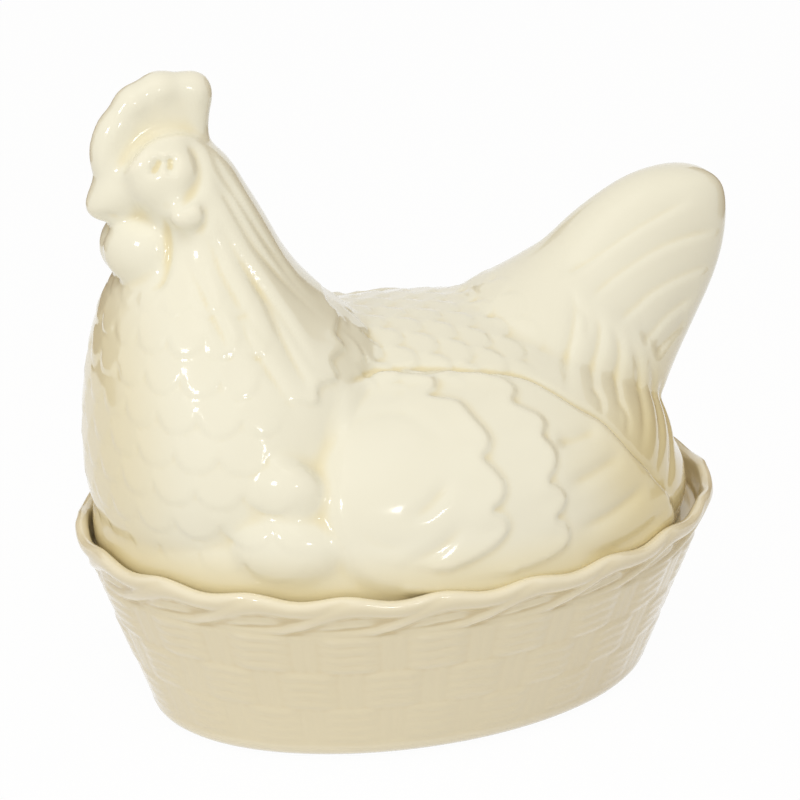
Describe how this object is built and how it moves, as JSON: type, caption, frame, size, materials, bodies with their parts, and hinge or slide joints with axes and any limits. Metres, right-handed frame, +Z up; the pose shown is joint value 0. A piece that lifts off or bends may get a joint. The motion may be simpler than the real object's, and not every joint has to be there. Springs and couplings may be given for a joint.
{
  "type": "hen on nest dish",
  "caption": "Glazed ceramic covered dish: a hollow sitting hen lifts off an oval basket-weave dish with a scalloped rope rim.",
  "frame": {"origin": "middle of the dish's flat base, on the surface it stands on", "axes": "+X from the hen towards its tail along the dish, so the hen faces -X; +Y across the dish; +Z up"},
  "size_m": [0.2605, 0.188, 0.2523],
  "materials": {
    "dish_glaze": "glossy cream glaze, pooled darker in the weave",
    "hen_glaze": "glossy cream glaze, warmer in the recesses"
  },
  "bodies": {
    "dish": {"nest_dish": "dish_glaze"},
    "lid": {"hen_lid": "hen_glaze"}
  },
  "joints": [
    {"name": "lid_lift", "type": "slide", "parent": "dish", "child": "lid", "axis": [0, 0, 1], "range_m": [0, 0.15]}
  ]
}
